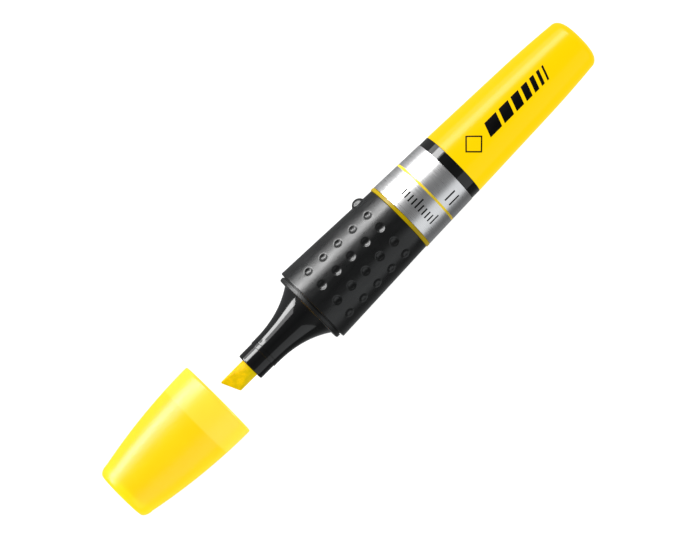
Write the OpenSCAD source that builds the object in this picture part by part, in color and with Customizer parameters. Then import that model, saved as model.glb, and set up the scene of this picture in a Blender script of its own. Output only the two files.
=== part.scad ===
// Jumbo liquid-ink highlighter, drawn with its cap pulled off in line with the pen.
// Everything is turned about one long axis: nib towards -X, tail towards +X, table at Z = 0.
// Places along the pen are measured from the shoulder, where the seated cap stops.

/* [Cap] */
// Length of the cap from its mouth to its closed end
cap_len = 35.3; // [34:0.1:44]
// Outer radius of the cap at its mouth, the widest place on the pen
cap_mouth_r = 11.64; // [11.6:0.02:12.6]
// Radius that the cap has lost to its curve when it reaches the closed end
cap_curve = 3.8; // [2:0.02:4.5]
// Radius of the bore that slides over the flange
cap_bore_r = 10.55; // [10.52:0.01:10.6]
// Wall of the cap behind its mouth
cap_wall = 1.1; // [1:0.05:1.1]
// Wall at the closed end
cap_end_wall = 2.2; // [1.6:0.1:3]
// Distance from the shoulder to the mouth with the cap pulled off
cap_gap = 34.4; // [33:0.1:60]

/* [Inner cap] */
// Depth in the cap at which the inner cap's skirt begins
liner_start = 8.2; // [7:0.1:9]
// Wall of the inner cap
liner_wall = 0.8; // [0.6:0.1:1]
// Gap between the inner cap's lip and the snout that it seals
seal_gap = 0.03; // [0.02:0.01:0.08]

/* [Nib] */
// Distance from the shoulder to the nib's longest corner
nib_reach = 31.05; // [30:0.05:31.2]
// Radius of the nib's rod
nib_r = 2.62; // [2.3:0.02:2.62]
// Length by which the writing edge slants across the nib
nib_slant = 2.1; // [0:0.1:3]
// Length of the two flats that make the chisel
nib_chisel = 6.6; // [4:0.1:7.4]
// Thickness of the writing edge
nib_edge = 1.2; // [0.6:0.1:2]

/* [Front section] */
// Distance from the shoulder to the snout's front rim
snout_reach = 22.9; // [22.5:0.1:23.3]
// Radius of the snout, on which the inner cap seals
snout_r = 4.05; // [4:0.01:4.1]
// Distance from the shoulder to the small step behind the snout
snout_step = 18.2; // [18:0.1:18.6]
// Radius of the neck where the flare begins
neck_r = 4.25; // [4.2:0.01:4.3]
// Distance from the shoulder to the start of the flare
flare_start = 16.6; // [16:0.1:17]
// Growth of the flare's radius for each square millimetre along the pen
flare_k = 0.0152; // [0.014:0.0001:0.016]
// Further growth, with the fourth power of the distance, that opens the flare out towards the flange
flare_k4 = 0.000016; // [0.000012:0.000001:0.000017]
// Radius of the flange that the cap grips
flange_r = 10.5; // [10.4:0.01:10.51]
// Length of the flange
flange_len = 1.5; // [1:0.05:1.5]
// Wall of the flared shell
section_wall = 1.55; // [1.5:0.05:1.6]

/* [Grip] */
// Length of the rubber sleeve
grip_len = 31.75; // [31:0.05:33]
// Radius of the sleeve at the shoulder
grip_r = 11.42; // [11.2:0.02:11.6]
// Radius lost for each millimetre towards the tail
grip_taper = 0.0406; // [0.02:0.0002:0.042]
// Columns of dimples along the sleeve
pit_cols = 5; // [3:1:5]
// Rows of dimples in each of the two opposite fields
pit_rows = 4; // [2:1:5]
// Distance from the shoulder to the first column
pit_first = 5.2; // [4:0.1:6]
// Distance between columns
pit_pitch = 5.25; // [4.5:0.05:5.3]
// Angle between rows
pit_step = 28.3; // [24:0.1:30]
// Radius of the ball that each dimple is a print of
pit_ball_r = 1.6; // [1.6:0.1:2.4]
// Depth of a dimple
pit_depth = 0.55; // [0.2:0.05:0.6]
// Distance from the shoulder to the roll-stop bead
bead_x = 26.9; // [24:0.1:28]
// Radius of the bead's ball
bead_ball_r = 2; // [1.6:0.1:2.2]
// Height of the bead above the sleeve
bead_height = 1.25; // [0.8:0.05:1.25]
// Roll of the sleeve about the pen's axis, with 0 putting a dimple field straight up
grip_roll = -4.7; // [-20:0.1:20]

/* [Rings and label] */
// Length of the coloured ring behind the grip
ring_len = 1.05; // [0.8:0.05:1.5]
// Radius of the coloured ring
ring_r = 10.45; // [10.35:0.05:10.8]
// Length of the label film
label_len = 16.2; // [14:0.05:16.5]
// Radius of the label at its front edge
label_front_r = 10.3; // [10.2:0.05:10.4]
// Radius of the label at its rear edge
label_rear_r = 9.8; // [9.7:0.05:9.9]
// Thickness of the label film
label_film = 0.25; // [0.2:0.05:0.4]
// Length of the collar behind the label
collar_len = 2.9; // [2:0.1:4]
// Radius of the collar
collar_r = 9.7; // [9.6:0.05:9.7]

/* [Rear barrel] */
// Distance from the shoulder to the tail
body_len = 98.1; // [92:0.1:110]
// Radius of the rear barrel at its front edge
barrel_r = 9.7; // [9.6:0.01:9.74]
// Radius lost for each millimetre of the straight taper
barrel_taper = 0.0365; // [0.02:0.0005:0.04]
// Length of the straight taper
barrel_straight = 26; // [20:1:30]
// Extra radius lost for each square millimetre after the straight taper
barrel_tuck = 0.0016; // [0.001:0.0001:0.0025]
// Radius of the ink tank's bore
tank_r = 7.2; // [6.6:0.1:7.2]
// Height of the ink above the pen's axis as the pen lies
ink_level = 2; // [-4:0.5:5]

/* [Ink feed] */
// Radius of the regulator's fins
fin_r = 7; // [6.6:0.05:7.05]
// Number of fins
fin_count = 13; // [8:1:13]
// Thickness of a fin
fin_w = 1.2; // [0.8:0.1:1.5]
// Radius of the regulator's core tube
core_r = 2.6; // [2.4:0.1:3]
// Radius of the fibre wick
wick_r = 1.5; // [1.2:0.05:1.5]

/* [Hidden] */

$fn = 96;
fit = 0.05;             // clearance between pieces that are pushed together
bore_r = 7.1;           // bore of the front barrel and of the section's spigot
spigot_r = 8;           // outer radius of the section's spigot
spigot_len = 10.2;      // length of the spigot behind the shoulder
oring_x = 5.5;          // middle of the gasket's groove
oring_r = 0.25;         // section radius of the gasket
sleeve_bore_r = 9;      // bore of the grip sleeve and of the coloured ring
ring_sides = 72;        // flats round the coloured ring
tank_start = 42.4;      // front end of the tank's spigot, inside the front barrel
tank_spigot_r = 8.3;    // outer radius of the tank's spigot
tank_end_wall = 2.1;    // wall at the tail
plug_len = 4.8;         // length of the plug that closes the tank
wick_rear = 58;         // rear end of the wick, in the ink
nib_rear = 10.5;        // distance from the shoulder to the nib's rear end
liner_tube_r = 4.9;     // outer radius of the inner cap's middle tube

ring_x = grip_len;
label_x = ring_x + ring_len;
collar_x = label_x + label_len;
barrel_x = collar_x + collar_len;
nib_bore_r = neck_r - section_wall - 0.03;
middle_x = (body_len - cap_gap - cap_len) / 2;
cap_end_axial = 3;      // length over which the cap's end rounds over
cap_end_radial = 1.6;   // radius that the cap's end loses as it rounds over
tail_axial = 2.5;       // the same for the tail
tail_radial = 3.4;

// Radius of the cap's outside and inside at a depth behind its mouth
function cap_outer(depth) = cap_mouth_r - cap_curve * pow(depth / cap_len, 2);
function cap_inner(depth) = min(cap_bore_r, cap_outer(depth) - cap_wall);

// Radius of the section's flare at a distance ahead of the shoulder
function flare(ahead) =
    neck_r + flare_k * pow(flare_start - ahead, 2) + flare_k4 * pow(flare_start - ahead, 4);

function grip_outer(x) = grip_r - grip_taper * x;

// Radius of the rear barrel at a place along the pen
function barrel_outer(x) =
    barrel_r - barrel_taper * (x - barrel_x) - barrel_tuck * pow(max(0, x - barrel_x - barrel_straight), 2);

// Points of a quarter ellipse that rounds an end of radius r over, from start to start + axial
function rounded_end(start, r, axial, radial) =
    [for (a = [0:10:90]) [start + axial * sin(a), r - radial * (1 - cos(a))]];

// A solid turned about X from [place along the pen, radius] points
module turned(outline) {
    rotate([0, 90, 0])
        rotate_extrude()
            polygon([for (p = outline) [p[1], p[0]]]);
}

// A round bar on the axis between two places
module bar(from, to, r) {
    translate([from, 0, 0])
        rotate([0, 90, 0])
            cylinder(h = to - from, r = r);
}

// Puts what is drawn straight up at an angle about the pen, measured from +Z towards +Y
module at_angle(a) {
    rotate([-a, 0, 0])
        children();
}

// Moves a piece drawn from the shoulder to its place on the table
module on_table() {
    translate([-middle_x, 0, cap_mouth_r])
        children();
}

// Moves a piece drawn by depth behind the cap's mouth: depth runs towards -X
module in_cap() {
    on_table()
        translate([-cap_gap, 0, 0])
            mirror([1, 0, 0])
                children();
}

module cap_shell() {
    end_start = cap_len - cap_end_axial;
    floor_depth = cap_len - cap_end_wall;
    outside = [for (d = [1:1.6:end_start - 0.8]) [d, cap_outer(d)]];
    inside = [for (d = [floor_depth - 1:-1.6:2]) [d, cap_inner(d)]];
    color("gold")
        in_cap()
            turned(concat(
                [[0, cap_bore_r + 0.2], [0, cap_mouth_r - 0.35], [0.35, cap_mouth_r]],
                outside,
                rounded_end(end_start, cap_outer(end_start), cap_end_axial, cap_end_radial),
                [[cap_len, 0], [floor_depth, 0], [floor_depth, cap_inner(floor_depth) - 1]],
                inside,
                [[0.2, cap_bore_r]]
            ));
}

// Inner cap: a skirt on the cap's wall, and a funnel to a closed tube that seals round the snout
module cap_liner() {
    skirt_end = cap_len - 6;
    tube_end = cap_len - cap_end_wall - fit;
    lip_r = snout_r + seal_gap;
    throat_r = neck_r + 0.2;
    depths = [for (d = [liner_start:2:skirt_end]) d];
    color("yellow")
        in_cap() {
            turned(concat(
                [for (d = depths) [d, cap_inner(d) - fit]],
                [for (i = [len(depths) - 1:-1:0]) [depths[i], cap_inner(depths[i]) - fit - liner_wall]]
            ));
            turned([
                [12.4, cap_inner(12.4) - 0.3],
                [17.2, liner_tube_r],
                [tube_end, liner_tube_r],
                [tube_end, 0],
                [tube_end - liner_wall, 0],
                [tube_end - liner_wall, lip_r],
                [snout_step + 0.1, lip_r],
                [snout_step, throat_r],
                [16.8, throat_r],
                [11.4, cap_inner(11.4) - 0.3]
            ]);
        }
}

// Chisel nib: a fibre rod with two flats and a writing edge that slants across it
module nib() {
    tip = -nib_reach;
    color("khaki")
        on_table()
            intersection() {
                bar(tip, -nib_rear, nib_r);
                rotate([90, 0, 0])
                    linear_extrude(height = 4 * nib_r, center = true)
                        polygon([
                            [tip, -nib_edge / 2],
                            [tip + nib_chisel, -nib_r - 0.1],
                            [0, -nib_r - 0.1],
                            [0, nib_r + 0.1],
                            [tip + nib_chisel, nib_r + 0.1],
                            [tip, nib_edge / 2]
                        ]);
                linear_extrude(height = 4 * nib_r, center = true)
                    polygon([
                        [tip, nib_r],
                        [tip + nib_slant, -nib_r],
                        [tip + nib_slant, -nib_r - 1],
                        [0, -nib_r - 1],
                        [0, nib_r + 1],
                        [tip, nib_r + 1]
                    ]);
            }
}

// Flared shell with the snout, the flange that the cap grips and the spigot in the front barrel
module front_section() {
    flare_end = flange_len + 0.1;
    outer_flare = [for (a = [flare_start:-1.1:flare_end]) [-a, flare(a)]];
    inner_flare = [for (a = [flare_end + 1:1.5:flare_start]) [-a, flare(a) - section_wall]];
    color("dimgray")
        on_table()
            turned(concat(
                [[-snout_reach, nib_bore_r], [-snout_reach, snout_r - 0.4]],
                [[-snout_reach + 0.12, snout_r - 0.12], [-snout_reach + 0.4, snout_r]],
                [[-snout_step, snout_r], [-snout_step, neck_r - 0.02]],
                outer_flare,
                [[-flange_len, flare(flange_len)], [-flange_len, flange_r - 0.45]],
                [[-flange_len + 0.15, flange_r - 0.12], [-flange_len + 0.45, flange_r]],
                [[-0.3, flange_r], [-0.3, flange_r - 0.3], [0, flange_r - 0.3]],
                [[0, spigot_r], [oring_x - 0.3, spigot_r], [oring_x - 0.3, spigot_r - 0.45]],
                [[oring_x + 0.3, spigot_r - 0.45], [oring_x + 0.3, spigot_r], [spigot_len, spigot_r]],
                [[spigot_len, bore_r], [-flange_len, bore_r]],
                inner_flare,
                [[-flare_start - 0.5, nib_bore_r]]
            ));
}

// O-ring between the spigot and the front barrel
module section_gasket() {
    color("black")
        on_table()
            translate([oring_x, 0, 0])
                rotate([0, 90, 0])
                    rotate_extrude()
                        translate([spigot_r - 0.45 + oring_r, 0])
                            circle(r = oring_r, $fn = 32);
}

// Finned regulator: a core tube round the wick with fins that hold back spare ink
module ink_regulator() {
    rear = tank_start - fit - 0.2;
    pitch = (rear - 1) / fin_count;
    fins = [
        for (i = [0:fin_count - 1])
            let (x = 1 + pitch * i)
                each [[x, core_r], [x, fin_r], [x + fin_w, fin_r], [x + fin_w, core_r]]
    ];
    color("gainsboro")
        on_table()
            turned(concat(
                [[-9.8, wick_r + fit], [-9.8, core_r]],
                fins,
                [[rear, core_r], [rear, wick_r + fit]]
            ));
}

module feed_wick() {
    color("khaki")
        on_table()
            bar(-nib_rear + fit, wick_rear, wick_r);
}

// Carrier tube: grip seat, label seat and the collar that shows behind the label
module front_barrel() {
    color("black")
        on_table()
            turned([
                [fit, spigot_r + fit],
                [fit, sleeve_bore_r - fit],
                [label_x, sleeve_bore_r - fit],
                [label_x, label_front_r - label_film - fit],
                [collar_x, label_rear_r - label_film - fit],
                [collar_x, collar_r],
                [barrel_x - 0.15, collar_r],
                [barrel_x, collar_r - 0.15],
                [barrel_x, tank_spigot_r + fit],
                [tank_start - 0.1, tank_spigot_r + fit],
                [tank_start - 0.1, bore_r],
                [spigot_len + 0.1, bore_r],
                [spigot_len + 0.1, spigot_r + fit]
            ]);
}

// Rubber sleeve with two opposite fields of dimples and a bead that stops the pen from rolling
module grip_sleeve() {
    color("darkslategray")
        on_table()
            difference() {
                union() {
                    turned([
                        [0, sleeve_bore_r],
                        [0, grip_r - 0.3],
                        [0.09, grip_r - 0.09],
                        [0.3, grip_outer(0.3)],
                        [grip_len - 0.2, grip_outer(grip_len)],
                        [grip_len, grip_outer(grip_len) - 0.2],
                        [grip_len, sleeve_bore_r]
                    ]);
                    at_angle(grip_roll + 90)
                        translate([bead_x, 0, grip_outer(bead_x) + bead_height - bead_ball_r])
                            sphere(r = bead_ball_r);
                }
                bar(-1, grip_len + 1, sleeve_bore_r);
                for (side = [0, 180], row = [0:pit_rows - 1], col = [0:pit_cols - 1]) {
                    x = pit_first + pit_pitch * col;
                    at_angle(grip_roll + side + pit_step * (row - (pit_rows - 1) / 2))
                        translate([x, 0, grip_outer(x) + pit_ball_r - pit_depth])
                            sphere(r = pit_ball_r);
                }
            }
}

// Coloured ring: its rim is a row of narrow flats, wide enough for the pen to lie still on one
module accent_ring() {
    step = 360 / ring_sides;
    rim = [for (i = [0:ring_sides - 1]) [ring_r * cos(step * (i + 0.5)), ring_r * sin(step * (i + 0.5))]];
    color("orange")
        on_table()
            difference() {
                translate([ring_x + fit, 0, 0])
                    rotate([0, 90, 0])
                        linear_extrude(height = ring_len - 2 * fit)
                            polygon(rim);
                bar(ring_x - 1, label_x + 1, sleeve_bore_r);
            }
}

// Metallised film wrapped round the front barrel
module label_sleeve() {
    color("silver")
        on_table()
            turned([
                [label_x + fit, label_front_r - label_film],
                [label_x + fit, label_front_r],
                [collar_x - fit, label_rear_r],
                [collar_x - fit, label_rear_r - label_film]
            ]);
}

// Ink tank: its spigot plugs into the front barrel, and its tail ends in a small flat
module rear_barrel() {
    tail_start = body_len - tail_axial;
    tank_end = body_len - tank_end_wall;
    taper_end = barrel_x + barrel_straight;
    tuck_start = taper_end + 4;
    outside = [for (x = [taper_end:2.5:tail_start - 1]) [x, barrel_outer(x)]];
    inside = [for (x = [tank_end - 1.5:-2.5:tuck_start]) [x, min(tank_r, barrel_outer(x) - 1.5)]];
    color("yellow")
        on_table()
            turned(concat(
                [[tank_start, tank_r], [tank_start, tank_spigot_r], [barrel_x + fit, tank_spigot_r]],
                [[barrel_x + fit, barrel_r - 0.2], [barrel_x + 0.25, barrel_r]],
                outside,
                rounded_end(tail_start, barrel_outer(tail_start), tail_axial, tail_radial),
                [[body_len, 0], [tank_end, 0], [tank_end, barrel_outer(tank_end) - 3]],
                inside
            ));
}

// Plug that closes the tank's mouth round the wick
module tank_plug() {
    front = tank_start + 0.1;
    color("white")
        on_table()
            turned([
                [front, wick_r + fit],
                [front, tank_r - fit],
                [front + 2.6, tank_r - fit],
                [front + 2.6, 3.2],
                [front + plug_len, 3.2],
                [front + plug_len, wick_r + fit]
            ]);
}

// Ink as it lies in the tank, up to its level
module ink_charge() {
    front = tank_start + plug_len + 0.2;
    rear = body_len - tank_end_wall - 6;
    color("greenyellow")
        on_table()
            difference() {
                bar(front, rear, min(tank_r, barrel_outer(rear) - 1.5) - fit);
                bar(front - 1, wick_rear + fit, wick_r + fit);
                translate([front - 1, -tank_r - 1, ink_level])
                    cube([rear - front + 2, 2 * tank_r + 2, tank_r]);
            }
}

cap_shell();
cap_liner();
nib();
front_section();
section_gasket();
ink_regulator();
feed_wick();
front_barrel();
grip_sleeve();
accent_ring();
label_sleeve();
rear_barrel();
tank_plug();
ink_charge();
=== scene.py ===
"""Jumbo highlighter with its cap pulled off: the looks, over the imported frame.

Lengths along the pen and radii are in millimetres, measured from the shoulder (the grip's front edge) and
from the pen's axis. place() turns them into metres in the frame.
"""

import math

import bmesh
import bpy
from mathutils import Matrix, Vector


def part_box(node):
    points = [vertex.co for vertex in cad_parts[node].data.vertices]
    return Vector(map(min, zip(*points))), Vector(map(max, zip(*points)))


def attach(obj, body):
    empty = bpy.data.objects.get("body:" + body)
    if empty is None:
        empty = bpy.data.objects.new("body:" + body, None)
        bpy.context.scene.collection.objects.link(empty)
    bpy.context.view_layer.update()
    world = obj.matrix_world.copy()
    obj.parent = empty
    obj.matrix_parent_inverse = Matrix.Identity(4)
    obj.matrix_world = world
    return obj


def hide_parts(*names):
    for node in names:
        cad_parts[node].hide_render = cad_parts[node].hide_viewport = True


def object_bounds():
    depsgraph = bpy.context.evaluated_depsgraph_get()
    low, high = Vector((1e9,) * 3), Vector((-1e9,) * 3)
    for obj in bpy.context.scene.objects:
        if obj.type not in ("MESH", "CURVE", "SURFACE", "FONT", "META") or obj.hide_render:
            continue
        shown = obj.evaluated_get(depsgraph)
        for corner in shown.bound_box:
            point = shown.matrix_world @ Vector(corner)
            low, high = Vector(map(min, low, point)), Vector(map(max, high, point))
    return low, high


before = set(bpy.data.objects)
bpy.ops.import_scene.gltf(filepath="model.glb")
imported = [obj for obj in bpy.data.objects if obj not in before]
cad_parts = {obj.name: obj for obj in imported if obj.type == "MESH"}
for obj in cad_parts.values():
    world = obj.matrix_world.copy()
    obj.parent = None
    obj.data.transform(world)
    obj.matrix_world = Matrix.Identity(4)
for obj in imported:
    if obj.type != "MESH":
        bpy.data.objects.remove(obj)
cad_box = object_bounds()

MM = 0.001
SEGMENTS = 160  # round a turned piece


# ---------------------------------------------------------------- places and sizes from the frame


def span(node):
    """A node's front and rear places along the pen and its largest radius, in millimetres."""
    low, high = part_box(node)
    return (low.x - SHOULDER) / MM, (high.x - SHOULDER) / MM, (high.z - low.z) / 2 / MM


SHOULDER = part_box("grip_sleeve")[0].x
AXIS_Z = (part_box("cap_shell")[0].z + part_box("cap_shell")[1].z) / 2

CAP_END, CAP_MOUTH, CAP_R = span("cap_shell")
CAP_LEN = CAP_MOUTH - CAP_END
CAP_CURVE = 3.8  # radius that the cap loses to its curve over its length
CAP_BORE_R = 10.55
CAP_WALL = 1.1
CAP_FLOOR = CAP_LEN - 2.2  # depth of the cap's inside
LINER_WALL = 0.8
LINER_START = CAP_MOUTH - span("cap_liner")[1]

NIB_TIP, _, NIB_R = span("nib")
NIB_SLANT = 2.1
NIB_CHISEL = 6.6  # length of the flats
NIB_EDGE = 1.2  # thickness of the writing edge

SNOUT, SPIGOT_END, FLANGE_R = span("front_section")
SNOUT_R = 4.05
SNOUT_STEP = -18.2
NECK_R = 4.25
FLARE_START = -16.6
FLARE_K, FLARE_K4 = 0.0152, 0.000016
FLANGE_LEN = 1.5

GRIP_LEN = span("grip_sleeve")[1]
GRIP_R = 11.42
GRIP_TAPER = 0.0406
SLEEVE_BORE_R = 9.0
PIT_COLS, PIT_ROWS = 5, 4
PIT_FIRST, PIT_PITCH, PIT_STEP = 5.2, 5.25, math.radians(28.3)
PIT_BALL_R, PIT_DEPTH = 1.6, 0.55
BEAD_X, BEAD_BALL_R, BEAD_HEIGHT = 26.9, 2.0, 1.25
GRIP_ROLL = math.radians(-4.7)

RING_X, RING_END, RING_R = span("accent_ring")
LABEL_X, LABEL_END, LABEL_R = span("label_sleeve")
LABEL_REAR_R = 9.8
BARREL_X = span("front_barrel")[1]
COLLAR_R = 9.7
_, TAIL, BARREL_R = span("rear_barrel")
BARREL_TAPER, BARREL_STRAIGHT, BARREL_TUCK = 0.0365, 26, 0.0016


def cap_outer(depth):
    return CAP_R - CAP_CURVE * (depth / CAP_LEN) ** 2


def cap_inner(depth):
    return min(CAP_BORE_R, cap_outer(depth) - CAP_WALL)


def flare(x):
    ahead = x - FLARE_START
    return NECK_R + FLARE_K * ahead**2 + FLARE_K4 * ahead**4


def grip_outer(x):
    return GRIP_R - GRIP_TAPER * x


def label_outer(x):
    return LABEL_R + (LABEL_REAR_R - LABEL_R) * (x - LABEL_X) / (LABEL_END - LABEL_X)


def barrel_outer(x):
    past = x - BARREL_X
    return BARREL_R - BARREL_TAPER * past - BARREL_TUCK * max(0, past - BARREL_STRAIGHT) ** 2


def place(x, angle, r):
    """A point in the frame: angle runs about the pen from +Z towards +Y."""
    return Vector((SHOULDER + x * MM, r * MM * math.sin(angle), AXIS_Z + r * MM * math.cos(angle)))


# ---------------------------------------------------------------- mesh helpers


def steps(start, end, pitch):
    """Even steps from start to end, both included, about a pitch apart."""
    n = max(1, round(abs(end - start) / pitch))
    return [start + (end - start) * i / n for i in range(n + 1)]


def rounded_outline(corners, arc_steps=6):
    """An outline from (x, radius, corner radius) points, with each corner turned into an arc.

    A loop is put close to both ends of each arc, so that smooth shading stays on the arc.
    """
    out = []
    n = len(corners)
    for i, (x, r, soft) in enumerate(corners):
        here = Vector((x, r))
        before = Vector(corners[i - 1][:2]) - here
        after = Vector(corners[(i + 1) % n][:2]) - here
        if soft <= 0:
            out.append((x, r))
            continue
        a, b = before.normalized(), after.normalized()
        half = a.angle(b) / 2
        if half > math.radians(88):
            out.append((x, r))
            continue
        reach = min(soft / math.tan(half), before.length * 0.48, after.length * 0.48)
        soft = reach * math.tan(half)
        middle = here + (a + b).normalized() * soft / math.sin(half)
        start, end = here + a * reach - middle, here + b * reach - middle
        lead = min(0.12, reach * 0.5)
        out.append(tuple(middle + start + a * lead))
        turn = start.angle_signed(end)
        for k in range(arc_steps + 1):
            out.append(tuple(middle + Matrix.Rotation(-turn * k / arc_steps, 2) @ start))
        out.append(tuple(middle + end + b * lead))
    return out


def new_piece(name, body, bm, materials, smooth_limit=38):
    """Turns a bmesh into an object that rides on a body, smooth but for its sharp edges."""
    bmesh.ops.recalc_face_normals(bm, faces=bm.faces)
    for f in bm.faces:
        f.smooth = True
    limit = math.radians(smooth_limit)
    for e in bm.edges:
        e.smooth = len(e.link_faces) == 2 and e.calc_face_angle(0) < limit
    mesh = bpy.data.meshes.new(name)
    bm.to_mesh(mesh)
    bm.free()
    for m in materials:
        mesh.materials.append(m)
    piece = bpy.data.objects.new(name, mesh)
    bpy.context.scene.collection.objects.link(piece)
    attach(piece, body)
    return piece


def turned(name, body, outline, materials, slot_at=None):
    """A closed outline of (x, radius) points turned about the pen's axis.

    slot_at gives the material's number from a place along the pen.
    """
    bm = bmesh.new()
    angles = [2 * math.pi * k / SEGMENTS for k in range(SEGMENTS)]
    rings = []
    for x, r in outline:
        if r < 1e-4:
            rings.append([bm.verts.new(place(x, 0, 0))])
        else:
            rings.append([bm.verts.new(place(x, a, r)) for a in angles])
    for i, ring in enumerate(rings):
        other = rings[(i + 1) % len(rings)]
        if len(ring) == 1 and len(other) == 1:
            continue
        middle_x = (outline[i][0] + outline[(i + 1) % len(outline)][0]) / 2
        slot = slot_at(middle_x) if slot_at else 0
        for k in range(SEGMENTS):
            j = (k + 1) % SEGMENTS
            corners = [ring[k % len(ring)], ring[j % len(ring)]]
            corners += [other[j % len(other)], other[k % len(other)]]
            face = bm.faces.new(list(dict.fromkeys(corners)))
            face.material_index = slot
    return new_piece(name, body, bm, materials)


def print_patch(bm, surface, corners, proud=0.02):
    """A printed quadrilateral laid on a surface of revolution.

    corners are four (x, arc) points in order, arc being millimetres round the pen from the top.
    """
    (ax, aw), (bx, bw), (cx, cw), (dx, dw) = corners
    nu = max(1, math.ceil(max(math.hypot(bx - ax, bw - aw), math.hypot(cx - dx, cw - dw)) / 0.4))
    nv = max(1, math.ceil(max(math.hypot(dx - ax, dw - aw), math.hypot(cx - bx, cw - bw)) / 0.4))
    grid = []
    for i in range(nu + 1):
        u = i / nu
        row = []
        for j in range(nv + 1):
            v = j / nv
            x = (1 - v) * ((1 - u) * ax + u * bx) + v * ((1 - u) * dx + u * cx)
            w = (1 - v) * ((1 - u) * aw + u * bw) + v * ((1 - u) * dw + u * cw)
            r = surface(x)
            row.append(bm.verts.new(place(x, w / r, r + proud)))
        grid.append(row)
    for i in range(nu):
        for j in range(nv):
            bm.faces.new([grid[i][j], grid[i + 1][j], grid[i + 1][j + 1], grid[i][j + 1]])


# ---------------------------------------------------------------- materials


class Nodes:
    """A material's node tree, with short names for the nodes used here."""

    def __init__(self, name):
        self.material = bpy.data.materials.new(name)
        self.material.use_nodes = True
        self.tree = self.material.node_tree
        self.shader = self.tree.nodes["Principled BSDF"]
        self.coords = self.tree.nodes.new("ShaderNodeTexCoord").outputs["Object"]

    def add(self, kind, **settings):
        node = self.tree.nodes.new(kind)
        for key, value in settings.items():
            setattr(node, key, value)
        return node

    def link(self, source, target):
        self.tree.links.new(source, target)

    def set(self, **values):
        for key, value in values.items():
            self.shader.inputs[key.replace("_", " ")].default_value = value

    def noise(self, size_mm, detail=3.0, stretch=(1, 1, 1), rough=0.55):
        """Noise from 0 to 1 with features about size_mm across, stretched along the axes."""
        mapping = self.add("ShaderNodeMapping")
        mapping.inputs["Scale"].default_value = [1 / s for s in stretch]
        self.link(self.coords, mapping.inputs["Vector"])
        noise = self.add("ShaderNodeTexNoise")
        noise.inputs["Scale"].default_value = 1 / (size_mm * MM)
        noise.inputs["Detail"].default_value = detail
        noise.inputs["Roughness"].default_value = rough
        self.link(mapping.outputs["Vector"], noise.inputs["Vector"])
        return noise.outputs["Fac"]

    def along_pen(self, start_mm, end_mm):
        """A number from 0 to 1 along the pen from start to end, both measured from the shoulder."""
        where = self.add("ShaderNodeSeparateXYZ")
        self.link(self.coords, where.inputs["Vector"])
        return self.between(where.outputs["X"], 0, 1, SHOULDER + start_mm * MM, SHOULDER + end_mm * MM)

    def math(self, operation, first, second):
        node = self.add("ShaderNodeMath", operation=operation)
        self.link(first, node.inputs[0])
        self.link(second, node.inputs[1])
        return node.outputs["Value"]

    def between(self, factor, low, high, start=0.3, end=0.7):
        """A number from low to high as factor goes from start to end."""
        node = self.add("ShaderNodeMapRange")
        limits = {"From Min": start, "From Max": end, "To Min": low, "To Max": high}
        for key, value in limits.items():
            node.inputs[key].default_value = value
        self.link(factor, node.inputs["Value"])
        return node.outputs["Result"]

    def blend(self, factor, first, second, start=0.3, end=0.7):
        """A colour from first to second as factor goes from start to end."""
        ramp = self.add("ShaderNodeValToRGB")
        for stop, position, colour in zip(ramp.color_ramp.elements, (start, end), (first, second)):
            stop.position = position
            stop.color = (*colour, 1)
        self.link(factor, ramp.inputs["Fac"])
        return ramp.outputs["Color"]

    def bump(self, height, depth_mm, strength=1.0, under=None):
        """A bump from a height, laid over another bump if one is given."""
        node = self.add("ShaderNodeBump")
        node.inputs["Distance"].default_value = depth_mm * MM
        node.inputs["Strength"].default_value = strength
        self.link(height, node.inputs["Height"])
        if under:
            self.link(under, node.inputs["Normal"])
        return node.outputs["Normal"]

    def finish(self, colour, rough, normal=None):
        """Links the colour, the roughness and any bump to the shader."""
        self.link(colour, self.shader.inputs["Base Color"])
        self.link(rough, self.shader.inputs["Roughness"])
        if normal:
            self.link(normal, self.shader.inputs["Normal"])
        return self.material


PAINTED_GLOW = (1.0, 0.72, 0.0)  # painted glow for the fluorescent yellow: an emission that lights it evenly, whatever way a face is turned
BLACK, BLACK_SHADE = (0.001, 0.0011, 0.0012), (0.0016, 0.0017, 0.0018)


def moulded(name, colour, shade, rough, wear=0.08, painted_glow=0.0, shine=0.5, dull_from=None):
    """Moulded plastic: slight colour drift, a faint moulding ripple and fine handling marks.

    Behind dull_from, a place along the pen, the polish is rubbed off.
    """
    n = Nodes(name)
    drift = n.noise(6, detail=2)
    scuffs = n.noise(0.9, detail=6, stretch=(9, 1, 1), rough=0.7)
    peel = n.noise(1.3, detail=1)
    n.set(Specular_IOR_Level=shine)
    # painted glow: an even emission over the whole surface, which lights it whatever way a face is turned
    if painted_glow:
        n.set(Emission_Color=(*PAINTED_GLOW, 1), Emission_Strength=painted_glow)
    finish = n.between(scuffs, rough, rough + wear, 0.45, 0.75)
    if dull_from is not None:
        rubbed = n.along_pen(dull_from, dull_from + 0.25)
        finish = n.math("ADD", finish, n.between(rubbed, 0, 0.33, 0, 1))
    return n.finish(
        n.blend(drift, colour, shade),
        finish,
        n.bump(scuffs, 0.002, 0.3, under=n.bump(peel, 0.004)),
    )


def grip_rubber():
    """Smooth rubber with a fine skin, cloudy in its polish."""
    n = Nodes("grip_rubber")
    cloud = n.noise(4, detail=3)
    skin = n.noise(0.16, detail=2)
    rub = n.noise(1.6, detail=5, stretch=(3, 1, 1), rough=0.65)
    return n.finish(
        n.blend(cloud, (0.0012, 0.0013, 0.0014), (0.0022, 0.0024, 0.0025)),
        n.between(rub, 0.27, 0.38, 0.4, 0.7),
        n.bump(skin, 0.0035, 0.6, under=n.bump(cloud, 0.01)),
    )


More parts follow.
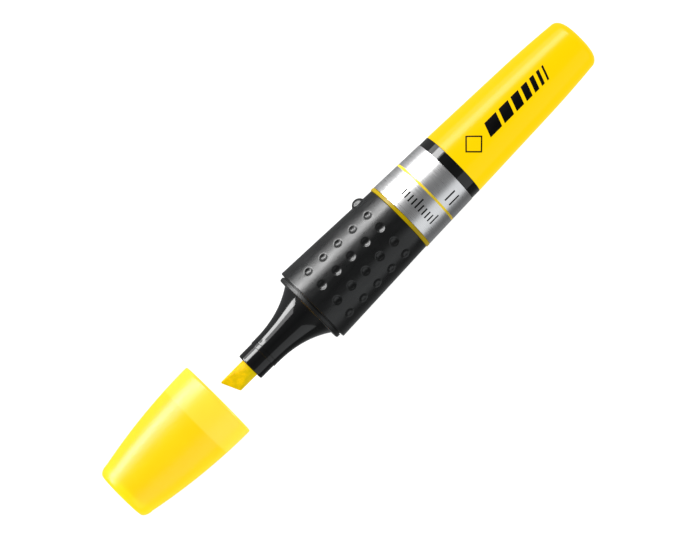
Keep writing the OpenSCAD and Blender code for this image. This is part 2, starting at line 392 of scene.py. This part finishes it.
def label_film():
    """Metallised film: satin, with very fine lines round the pen and a slight waviness."""
    n = Nodes("label_film")
    lines = n.noise(0.07, detail=3, stretch=(1, 60, 60))
    wave = n.noise(5, detail=1)
    n.set(Metallic=1.0)
    return n.finish(
        n.blend(lines, (0.73, 0.725, 0.73), (0.85, 0.845, 0.85)),
        n.between(lines, 0.26, 0.36),
        n.bump(lines, 0.0015, 0.5, under=n.bump(wave, 0.01)),
    )


def label_stripe():
    """The label's yellow line, printed on the same film."""
    n = Nodes("label_stripe")
    lines = n.noise(0.07, detail=3, stretch=(1, 60, 60))
    n.set(Metallic=0.55)
    return n.finish(
        n.blend(lines, (0.95, 0.66, 0.02), (1.0, 0.75, 0.05)),
        n.between(lines, 0.22, 0.3),
        n.bump(lines, 0.0015, 0.4),
    )


def nib_fibre():
    """Bonded fibre: strands along the pen, wet with ink and darker where it pools between them."""
    n = Nodes("nib_fibre")
    strands = n.noise(0.12, detail=4, stretch=(14, 1, 1), rough=0.6)
    pool = n.noise(1.4, detail=3)
    # painted glow: an emission that lights the nib evenly, whatever way a face is turned
    n.set(Emission_Color=(1.0, 0.86, 0.0, 1), Emission_Strength=0.5, Specular_IOR_Level=0.08)
    return n.finish(
        n.blend(n.math("MULTIPLY", strands, pool), (0.12, 0.035, 0.0), (0.34, 0.15, 0.0), 0.12, 0.36),
        n.between(strands, 0.45, 0.75),
        n.bump(strands, 0.03, 0.8),
    )


def cap_plastic():
    """Translucent fluorescent plastic with a painted glow, painted paler where no inner cap lies behind it.

    Its reflections are tinted, so that they look cream and not lemon over the bright yellow.
    """
    n = Nodes("cap_plastic")
    drift = n.noise(7, detail=2)
    scuffs = n.noise(0.9, detail=6, stretch=(7, 1, 1), rough=0.7)
    peel = n.noise(1.6, detail=1)
    liner_edge = CAP_MOUTH - LINER_START
    # painted light: the emission colour is painted paler over the mouth, standing in for light seen through
    # the single wall
    mouth = n.along_pen(liner_edge - 0.3, liner_edge + 0.2)
    painted_glow = n.blend(mouth, (1.0, 0.6, 0.0), (1.0, 0.66, 0.05), 0, 1)
    n.set(IOR=1.49, Transmission_Weight=0.7, Emission_Strength=0.74, Specular_IOR_Level=0.36)
    n.set(Specular_Tint=(1.0, 0.5, 0.9, 1))
    n.link(painted_glow, n.shader.inputs["Emission Color"])
    return n.finish(
        n.blend(drift, (0.33, 0.19, 0.005), (0.3, 0.17, 0.003)),
        n.between(scuffs, 0.3, 0.38, 0.45, 0.75),
        n.bump(scuffs, 0.0006, 0.15, under=n.bump(peel, 0.006)),
    )


def tank_ink():
    """Clear fluorescent liquid."""
    n = Nodes("tank_ink")
    swirl = n.noise(5, detail=3)
    # painted glow: a faint emission in the ink
    n.set(IOR=1.34, Transmission_Weight=0.6, Emission_Color=(0.8, 1.0, 0.0, 1), Emission_Strength=0.1)
    return n.finish(
        n.blend(swirl, (0.9, 1.0, 0.05), (0.95, 0.95, 0.02)),
        n.between(swirl, 0.04, 0.08),
        n.bump(swirl, 0.01),
    )


def seal_rubber():
    """Matt black rubber."""
    n = Nodes("seal_rubber")
    skin = n.noise(0.2, detail=3)
    return n.finish(
        n.blend(skin, (0.012, 0.012, 0.012), (0.025, 0.025, 0.025)),
        n.between(skin, 0.5, 0.7),
        n.bump(skin, 0.005),
    )


# The barrel, the ring and the inner cap carry a painted glow: an emission that evens out their shading.
BARREL_PLASTIC = moulded(
    "barrel_plastic", (0.12, 0.022, 0.0), (0.1, 0.018, 0.0), 0.2, painted_glow=0.93, shine=0.13
)
ACCENT_PLASTIC = moulded(
    "accent_plastic", (0.16, 0.11, 0.0), (0.12, 0.08, 0.0), 0.24, painted_glow=0.22, shine=0.16
)
SECTION_PLASTIC = moulded(
    "section_plastic", BLACK, BLACK_SHADE, 0.07, wear=0.07, dull_from=-FLANGE_LEN - 0.15
)
BLACK_PLASTIC = moulded("black_plastic", BLACK, BLACK_SHADE, 0.07, wear=0.07)
FEED_PLASTIC = moulded("feed_plastic", (0.82, 0.82, 0.78), (0.75, 0.76, 0.7), 0.4)
LINER_PLASTIC = moulded("liner_plastic", (0.5, 0.3, 0.0), (0.47, 0.27, 0.0), 0.35, painted_glow=0.4)
PRINT_INK = moulded(
    "print_ink", (0.0015, 0.0015, 0.0015), (0.003, 0.003, 0.003), 0.4, wear=0.15, shine=0.06
)
CAP_PLASTIC = cap_plastic()
GRIP_RUBBER = grip_rubber()
LABEL_FILM = label_film()
LABEL_STRIPE = label_stripe()
NIB_FIBRE = nib_fibre()


# ---------------------------------------------------------------- camera


def make_camera():
    """Looks down on the pen from above its front half, with the pen rising to the right at 45 degrees."""
    distance, tilt = 0.83, math.radians(2.1)
    pixels_per_m, width_px, sensor_mm = 3850, 700, 36
    target = (cad_box[0] + cad_box[1]) / 2 + Vector((-0.2, 0.15, 0)) * MM
    target.z = AXIS_Z
    back = Vector((-math.sin(tilt), 0, math.cos(tilt)))
    along = Vector((math.cos(tilt), 0, math.sin(tilt)))
    across = Vector((0, 1, 0))
    right = (along - across).normalized()
    up = (along + across).normalized()
    data = bpy.data.cameras.new("camera")
    data.sensor_width = sensor_mm
    data.lens = pixels_per_m * distance * sensor_mm / width_px
    data.clip_start, data.clip_end = 0.05, 20
    camera = bpy.data.objects.new("camera", data)
    bpy.context.scene.collection.objects.link(camera)
    turn = Matrix((right, up, back)).transposed().to_4x4()
    camera.matrix_world = Matrix.Translation(target + back * distance) @ turn
    bpy.context.scene.camera = camera


make_camera()


# ---------------------------------------------------------------- cap


def in_cap(outline):
    """An outline drawn by depth behind the cap's mouth, in places along the pen."""
    return [(CAP_MOUTH - p[0], *p[1:]) for p in outline]


def make_cap():
    """The outer cap, with a small gate mark in its closed end."""
    end_start, end_axial, end_radial = CAP_LEN - 3, 3, 1.6
    outside = [(d, cap_outer(d), 0) for d in steps(1.2, end_start, 0.9)[:-1]]
    end = [
        (end_start + end_axial * math.sin(a), cap_outer(end_start) - end_radial * (1 - math.cos(a)), 0)
        for a in steps(0, math.pi / 2, math.radians(7))
    ]
    gate = [(CAP_LEN, 1.6, 0.1), (CAP_LEN - 0.25, 1.35, 0.1), (CAP_LEN - 0.25, 0, 0)]
    inside = [(d, cap_inner(d), 0) for d in steps(CAP_FLOOR - 1.2, 2.2, 0.9)]
    outline = rounded_outline(
        in_cap(
            [(0, CAP_BORE_R + 0.25, 0.2), (0, CAP_R - 0.02, 0.45)]
            + outside
            + end
            + gate
            + [(CAP_FLOOR, 0, 0), (CAP_FLOOR, cap_inner(CAP_FLOOR) - 0.4, 0.5)]
            + inside
            + [(0.25, CAP_BORE_R, 0.2)]
        )
    )
    piece = turned("cap_shell_shown", "cap", outline, [CAP_PLASTIC])
    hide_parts("cap_shell")


def make_liner():
    """A skirt on the cap's wall, and a funnel and closed tube that take the snout."""
    fit, lip_r, tube_r = 0.05, 4.08, 4.9
    skirt_end, tube_end = CAP_LEN - 6, CAP_FLOOR - fit
    funnel_front, throat_front = 11.4, 16.8
    funnel_back, tube_front = funnel_front + 1, throat_front + 0.4
    throat_r = NECK_R + 0.2
    step = -SNOUT_STEP
    skirt = [(d, cap_inner(d) - fit, 0.15) for d in steps(LINER_START, skirt_end, 1.6)]
    back = [(d, r - LINER_WALL, s) for d, r, s in reversed(skirt)]
    skirt_piece = turned("liner_skirt", "cap", rounded_outline(in_cap(skirt + back)), [LINER_PLASTIC])
    funnel = [
        (funnel_back, cap_inner(funnel_back) - 0.3, 0),
        (tube_front, tube_r, 0.8),
        (tube_end, tube_r, 0.3),
        (tube_end, 0, 0),
        (tube_end - LINER_WALL, 0, 0),
        (tube_end - LINER_WALL, lip_r, 0.3),
        (step + 0.1, lip_r, 0.1),
        (step, throat_r, 0.05),
        (throat_front, throat_r, 0.6),
        (funnel_front, cap_inner(funnel_front) - 0.3, 0),
    ]
    funnel_piece = turned("liner_funnel", "cap", rounded_outline(in_cap(funnel)), [LINER_PLASTIC])
    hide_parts("cap_liner")


# ---------------------------------------------------------------- nib and front section


def soft_clamp(value, limit, soft=0.12):
    """value held between -limit and limit, with the corner rounded over."""
    size = abs(value)
    held = -soft * math.log(math.exp(-size / soft) + math.exp(-limit / soft))
    return math.copysign(max(0, min(size, held)), value)


def make_nib():
    """A fibre rod with two flats and an edge that slants across it, drawn ring by ring from the tip."""
    rear = span("nib")[1]
    around, soft_tip = 96, 0.3
    bm = bmesh.new()
    rings = []
    for t in steps(0, 0.06, 0.012) + steps(0.09, 1, 0.018):
        ring = []
        ahead = max(0, soft_tip - t * (rear - NIB_TIP))
        inset = soft_tip - math.sqrt(max(0, soft_tip**2 - ahead**2))
        for k in range(around):
            a = 2 * math.pi * k / around
            y, z = NIB_R * math.sin(a), NIB_R * math.cos(a)
            front = NIB_TIP + NIB_SLANT * (1 - y / NIB_R) / 2
            x = front + (rear - front) * t
            thick = NIB_EDGE / 2 + (NIB_R - NIB_EDGE / 2) * (x - NIB_TIP) / NIB_CHISEL
            z = soft_clamp(z, max(thick, 0.1)) if x < NIB_TIP + NIB_CHISEL + 1.5 else z
            scale_y = 1 - inset / NIB_R
            scale_z = 1 - inset / max(abs(thick), NIB_EDGE / 2)
            r = math.hypot(y * scale_y, z * scale_z)
            ring.append(bm.verts.new(place(x, math.atan2(y * scale_y, z * scale_z), r)))
        rings.append(ring)
    for a, b in zip(rings, rings[1:]):
        for k in range(around):
            bm.faces.new([a[k], a[(k + 1) % around], b[(k + 1) % around], b[k]])
    bm.faces.new(rings[0])
    bm.faces.new(rings[-1])
    piece = new_piece("nib_shown", "pen", bm, [NIB_FIBRE])
    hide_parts("nib")


def make_front_section():
    """The snout with its step and a fine groove, the flare, the flange and the spigot."""
    nib_bore, spigot_r, bore_r, wall = NIB_R + 0.05, 8.0, 7.1, 1.55
    groove, groove_r, neck_r = SNOUT_STEP + 1.2, NECK_R - 0.07, NECK_R - 0.02
    seal, seal_half, seal_r = 5.5, 0.3, spigot_r - 0.45
    flare_end = -FLANGE_LEN - 0.1
    outer = [(x, flare(x), 0) for x in steps(FLARE_START, flare_end, 0.45)[:-1]]
    inner = [(x, flare(x) - wall, 0) for x in steps(flare_end - 1, FLARE_START, 0.9)]
    outline = rounded_outline(
        [
            (SNOUT, nib_bore, 0.12),
            (SNOUT, SNOUT_R, 0.42),
            (SNOUT_STEP, SNOUT_R, 0.05),
            (SNOUT_STEP, neck_r, 0.08),
            (groove, neck_r, 0.02),
            (groove + 0.05, groove_r, 0.02),
            (groove + 0.15, groove_r, 0.02),
            (groove + 0.2, NECK_R - 0.01, 0.02),
        ]
        + outer
        + [
            (-FLANGE_LEN, flare(-FLANGE_LEN), 0.3),
            (-FLANGE_LEN, FLANGE_R, 0.5),
            (-0.3, FLANGE_R, 0.1),
            (-0.3, FLANGE_R - 0.3, 0.04),
            (0, FLANGE_R - 0.3, 0.02),
            (0, spigot_r, 0),
            (seal - seal_half, spigot_r, 0),
            (seal - seal_half, seal_r, 0),
            (seal + seal_half, seal_r, 0),
            (seal + seal_half, spigot_r, 0),
            (SPIGOT_END, spigot_r, 0.2),
            (SPIGOT_END, bore_r, 0),
            (-FLANGE_LEN, bore_r, 0),
        ]
        + inner
        + [(FLARE_START - 0.5, nib_bore, 0)]
    )
    piece = turned("front_section_shown", "pen", outline, [SECTION_PLASTIC])
    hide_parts("front_section")


# ---------------------------------------------------------------- grip


def smooth_min(a, b, soft):
    """The smaller of two heights, blended where they are about equal."""
    h = max(0, 1 - abs(a - b) / soft)
    return min(a, b) - h * h * soft / 4


def grip_height(x, angle):
    """Radius of the sleeve's outside, with its dimples and the bead."""
    base = grip_outer(x)
    r = base
    turn = (angle - GRIP_ROLL + math.pi / 2) % math.pi - math.pi / 2
    col = min(max(round((x - PIT_FIRST) / PIT_PITCH), 0), PIT_COLS - 1)
    row = min(max(round(turn / PIT_STEP + (PIT_ROWS - 1) / 2), 0), PIT_ROWS - 1)
    along = x - PIT_FIRST - PIT_PITCH * col
    across = (turn - PIT_STEP * (row - (PIT_ROWS - 1) / 2)) * base
    far2 = along**2 + across**2
    if far2 < (PIT_BALL_R * 0.98) ** 2:
        floor = base + PIT_BALL_R - PIT_DEPTH - math.sqrt(PIT_BALL_R**2 - far2)
        r = smooth_min(base, floor, 0.07)
    bead_turn = (angle - GRIP_ROLL - math.pi / 2 + math.pi) % (2 * math.pi) - math.pi
    top = base + BEAD_HEIGHT - BEAD_BALL_R
    far2 = (x - BEAD_X) ** 2 + (bead_turn * (base + 0.5)) ** 2
    if far2 < (BEAD_BALL_R * 0.999) ** 2:
        r = -smooth_min(-r, -(top + math.sqrt(BEAD_BALL_R**2 - far2)), 0.35)
    return r


def grip_angles():
    """Angles round the sleeve: close together over the dimples and the bead, wide apart elsewhere."""
    fine, wide = PIT_STEP / 26, math.radians(3)
    field = PIT_STEP * (PIT_ROWS - 1) / 2 + PIT_STEP / 4
    bead = math.radians(13)
    side, back = math.pi / 2, math.pi
    stretches = [
        (-field, field, fine),
        (field, side - bead, wide),
        (side - bead, side + bead, fine),
        (side + bead, back - field, wide),
        (back - field, back + field, fine),
        (back + field, 2 * math.pi - field, wide),
    ]
    return [GRIP_ROLL + a for start, end, pitch in stretches for a in steps(start, end, pitch)[:-1]]


def make_grip():
    """The outside is a net of heights, closed by rounded ends and the bore."""
    front_soft, rear_soft = 0.28, 0.22
    front_r, rear_r = grip_outer(front_soft), grip_outer(GRIP_LEN)
    fine = PIT_PITCH / 26
    first, last = PIT_FIRST - PIT_PITCH / 4, BEAD_X + 2.1
    net = steps(front_soft + 0.1, first, 0.8)[:-1] + steps(first, last, fine)[:-1]
    net += steps(last, GRIP_LEN - rear_soft - 0.1, 0.8)
    angles = grip_angles()
    rows = [[(x, a, grip_height(x, a)) for a in angles] for x in net]
    front = [
        (front_soft * (1 - math.sin(a)), front_r - front_soft * (1 - math.cos(a)))
        for a in steps(math.pi / 2, 0, math.radians(12))
    ]
    rear = [
        (GRIP_LEN - rear_soft * (1 - math.sin(a)), rear_r - rear_soft * (1 - math.cos(a)))
        for a in steps(0, math.pi / 2, math.radians(12))
    ]
    bore = [(GRIP_LEN, SLEEVE_BORE_R), (0, SLEEVE_BORE_R), (0, front[0][1] - 0.15)]
    before = [[(x, a, r) for a in angles] for x, r in front]
    after = [[(x, a, r) for a in angles] for x, r in rear + bore]
    bm = bmesh.new()
    rings = [[bm.verts.new(place(*p)) for p in row] for row in before + rows + after]
    n = len(angles)
    for ring, other in zip(rings, rings[1:] + rings[:1]):
        for k in range(n):
            bm.faces.new([ring[k], ring[(k + 1) % n], other[(k + 1) % n], other[k]])
    piece = new_piece("grip_sleeve_shown", "pen", bm, [GRIP_RUBBER], smooth_limit=60)
    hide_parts("grip_sleeve")


# ---------------------------------------------------------------- ring, label and barrel


def make_ring():
    """The yellow ring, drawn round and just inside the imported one."""
    rim_r, soft = RING_R - 0.06, 0.12
    outline = rounded_outline(
        [
            (RING_X, SLEEVE_BORE_R, 0),
            (RING_X, rim_r, soft),
            (RING_END, rim_r, soft),
            (RING_END, SLEEVE_BORE_R, 0),
        ]
    )
    piece = turned("accent_ring_shown", "pen", outline, [ACCENT_PLASTIC])
    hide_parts("accent_ring")


def make_label():
    """The film sleeve, whose yellow line is a band of its own material."""
    stripe, stripe_len, film = 41.05, 0.65, 0.25
    marks = ((LABEL_X, 0.05), (stripe, 0), (stripe + stripe_len, 0), (LABEL_END, 0.05))
    outside = [(x, label_outer(x), soft) for x, soft in marks]
    inside = [(x, label_outer(x) - film, 0) for x in (LABEL_END, LABEL_X)]
    piece = turned(
        "label_sleeve_shown",
        "pen",
        rounded_outline(outside + inside),
        [LABEL_FILM, LABEL_STRIPE],
        slot_at=lambda x: int(stripe < x < stripe + stripe_len),
    )
    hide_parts("label_sleeve")


def make_front_barrel():
    """The carrier tube inside the grip and the label, with the collar that shows behind them."""
    seat, spigot, tank_spigot, bore, film = 8.95, 8.05, 8.35, 7.1, 0.3
    bore_front, bore_back, gap = 10.3, 42.3, 0.05
    outline = rounded_outline(
        [
            (gap, spigot, 0),
            (gap, seat, 0),
            (LABEL_X - gap, seat, 0),
            (LABEL_X - gap, LABEL_R - film, 0),
            (LABEL_END + gap, LABEL_REAR_R - film, 0),
            (LABEL_END + gap, COLLAR_R, 0.08),
            (BARREL_X, COLLAR_R, 0.18),
            (BARREL_X, tank_spigot, 0),
            (bore_back, tank_spigot, 0),
            (bore_back, bore, 0),
            (bore_front, bore, 0),
            (bore_front, spigot, 0),
        ]
    )
    piece = turned("front_barrel_shown", "pen", outline, [BLACK_PLASTIC])
    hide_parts("front_barrel")


def make_barrel():
    """The tank: a spigot, a taper that tucks in towards the tail, and a small gate mark in the tail."""
    tank_r, spigot_r, spigot_x = 7.2, 8.3, span("rear_barrel")[0]
    tail_axial, tail_radial = 2.5, 3.4
    tail_start, tank_end = TAIL - tail_axial, TAIL - 2.1
    tail_r = barrel_outer(tail_start)
    taper_end = BARREL_X + BARREL_STRAIGHT
    outside = [(x, barrel_outer(x), 0) for x in steps(taper_end, tail_start, 0.9)[:-1]]
    tail = [
        (tail_start + tail_axial * math.sin(a), tail_r - tail_radial * (1 - math.cos(a)), 0)
        for a in steps(0, math.pi / 2, math.radians(7))
    ]
    inner = steps(tank_end - 1.5, taper_end + 4, 2.5)
    inside = [(x, min(tank_r, barrel_outer(x) - 1.5), 0) for x in inner]
    outline = rounded_outline(
        [
            (spigot_x, tank_r, 0),
            (spigot_x, spigot_r, 0.2),
            (BARREL_X + 0.05, spigot_r, 0),
            (BARREL_X + 0.05, BARREL_R, 0.25),
        ]
        + outside
        + tail
        + [(TAIL, 1.5, 0.1), (TAIL - 0.2, 1.3, 0.1), (TAIL - 0.2, 0, 0)]
        + [(tank_end, 0, 0), (tank_end, barrel_outer(tank_end) - 3, 0.3)]
        + inside
    )
    piece = turned("rear_barrel_shown", "pen", outline, [BARREL_PLASTIC])
    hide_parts("rear_barrel")


def print_box(bm, surface, x, length, w, width, slant=0.0):
    """A printed bar, length along the pen and width round it, leaning back by slant."""
    low = [(x, w), (x + length, w)]
    high = [(x + length + slant, w + width), (x + slant, w + width)]
    print_patch(bm, surface, low + high)


def print_diamond(bm, mid_x, mid_w, outer, inner):
    """An open diamond on the barrel, its four sides one after another."""
    for k in range(4):
        a, b = math.pi / 2 * k, math.pi / 2 * (k + 1)
        corners = [
            (mid_x + r * math.cos(t), mid_w + r * math.sin(t))
            for t, r in ((a, outer), (b, outer), (b, inner), (a, inner))
        ]
        print_patch(bm, barrel_outer, corners)


def finish_print(name, bm):
    """Makes the printed patches one piece of black ink on the pen."""
    new_piece(name, "pen", bm, [PRINT_INK])


def make_prints():
    """Plain printed marks: an open diamond and slanted bars on the barrel, ticks on the label."""
    bm = bmesh.new()
    mid_w = -0.1
    print_diamond(bm, 58.5, mid_w, 3.1, 2.55)
    x, height, slant, gap = 62.8, 3.8, 1.4, 1.0
    for length in (4.2, 3.4, 2.7, 2.1, 1.5, 1.0, 0.6):
        print_box(bm, barrel_outer, x, length, mid_w - height / 2, height, slant)
        x += length + gap
    finish_print("barrel_print", bm)

    bm = bmesh.new()
    ticks_x, first_w, pitch, short_tick, long_tick = 36.0, -7.4, 1.25, 2.2, 3.2
    for k in range(11):
        length = short_tick if k % 5 else long_tick
        print_box(bm, label_outer, ticks_x, length, first_w + pitch * k, 0.4)
    lines_x, line_len = 43.0, 3.6
    for w in (-7.6, -5.6):
        print_box(bm, label_outer, lines_x, line_len, w, 0.45)
    finish_print("label_print", bm)


# ---------------------------------------------------------------- stage


def make_floor():
    """A wide pale floor that curves up into a low wall all round, and glows to give a white background."""
    rise_start, radius, height = 1.4, 0.7, 0.9
    profile = [(0.3, 0), (0.8, 0), (rise_start, 0)]
    profile += [
        (rise_start + radius * math.sin(a), radius * (1 - math.cos(a)))
        for a in steps(0, math.pi / 2, math.radians(10))[1:]
    ]
    profile.append((rise_start + radius, height))
    bm = bmesh.new()
    centre = bm.verts.new((0, 0, 0))
    n = 96
    turns = [2 * math.pi * k / n for k in range(n)]
    rings = [[bm.verts.new((r * math.cos(a), r * math.sin(a), z)) for a in turns] for r, z in profile]
    for k in range(n):
        bm.faces.new([centre, rings[0][k], rings[0][(k + 1) % n]])
    for a, b in zip(rings, rings[1:]):
        for k in range(n):
            bm.faces.new([a[k], b[k], b[(k + 1) % n], a[(k + 1) % n]])
    for f in bm.faces:
        f.smooth = True
    mesh = bpy.data.meshes.new("floor")
    bm.to_mesh(mesh)
    bm.free()
    paper = Nodes("floor_paper")
    grain = paper.noise(3, detail=3)
    shade = paper.blend(grain, (0.15, 0.15, 0.15), (0.16, 0.16, 0.16))
    paper.set(Emission_Color=(1, 1, 1, 1), Emission_Strength=0.97)
    mesh.materials.append(paper.finish(shade, paper.between(grain, 0.8, 0.9)))
    floor = bpy.data.objects.new("floor", mesh)
    bpy.context.scene.collection.objects.link(floor)
    floor.visible_glossy = False


def area_light(name, angle, distance, width, length, power, colour=(1, 1, 1), centre_x=0):
    """A rectangular light along the pen, at an angle about it from +Z towards +Y."""
    data = bpy.data.lights.new(name, "AREA")
    data.shape = "RECTANGLE"
    data.size, data.size_y = length, width
    data.energy = power
    data.color = colour
    light = bpy.data.objects.new(name, data)
    bpy.context.scene.collection.objects.link(light)
    back = Vector((0, math.sin(angle), math.cos(angle)))
    along = Vector((1, 0, 0))
    turn = Matrix((along, back.cross(along), back)).transposed().to_4x4()
    light.matrix_world = Matrix.Translation(Vector((centre_x, 0, AXIS_Z)) + back * distance) @ turn
    light.visible_camera = False


# How bright the room is round the pen: (degrees from straight up towards +Y, level)
ROOM = [(-179, 0.3), (-150, 0.26), (-120, 0.12), (-96, 0.13), (-76, 0.3), (-40, 0.22), (0, 0.12), (40, 0.2)]
ROOM += [(80, 0.5), (100, 0.42), (120, 0.34), (145, 0.22), (179, 0.26)]


def make_room():
    """The world, whose brightness depends on the angle about the pen alone."""
    world = bpy.data.worlds.new("world")
    world.use_nodes = True
    nodes, link = world.node_tree.nodes, world.node_tree.links.new
    way = nodes.new("ShaderNodeSeparateXYZ")
    link(nodes.new("ShaderNodeTexCoord").outputs["Generated"], way.inputs["Vector"])
    angle = nodes.new("ShaderNodeMath")
    angle.operation = "ARCTAN2"
    link(way.outputs["Y"], angle.inputs[0])
    link(way.outputs["Z"], angle.inputs[1])
    turn = nodes.new("ShaderNodeMapRange")
    turn.inputs["From Min"].default_value, turn.inputs["From Max"].default_value = -math.pi, math.pi
    link(angle.outputs["Value"], turn.inputs["Value"])
    ramp = nodes.new("ShaderNodeValToRGB")
    stops = ramp.color_ramp.elements
    for degrees, level in ROOM:
        stops.new((degrees + 180) / 360).color = (level * 0.97, level * 0.99, level, 1)
    stops.remove(stops[0])
    stops.remove(stops[-1])
    link(turn.outputs["Result"], ramp.inputs["Fac"])
    link(ramp.outputs["Color"], nodes["Background"].inputs["Color"])
    bpy.context.scene.world = world


def make_lights():
    """One soft box for the pen, one a little lower for the cap, a wide one round them and a fill."""
    area_light("key_pen", math.radians(60), 0.8, 0.32, 0.94, 10.8, centre_x=0.38)
    area_light("key_cap", math.radians(78), 0.8, 0.32, 0.88, 9.6, centre_x=-0.51)
    area_light("key_halo", math.radians(68), 0.85, 0.75, 1.8, 12.7)
    area_light("fill", math.radians(-66), 0.9, 0.9, 1.8, 3.3, (0.95, 0.98, 1.0))


# ---------------------------------------------------------------- build

make_cap()
make_liner()
make_nib()
make_front_section()
make_grip()
make_ring()
make_label()
make_front_barrel()
make_barrel()
make_prints()
make_floor()
make_room()
make_lights()
bpy.context.scene.view_settings.view_transform = "Standard"

INSIDE = {
    "section_gasket": seal_rubber(),
    "ink_regulator": FEED_PLASTIC,
    "feed_wick": NIB_FIBRE,
    "tank_plug": FEED_PLASTIC,
    "ink_charge": tank_ink(),
}
for node, material in INSIDE.items():
    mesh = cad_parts[node].data
    mesh.materials.clear()
    mesh.materials.append(material)
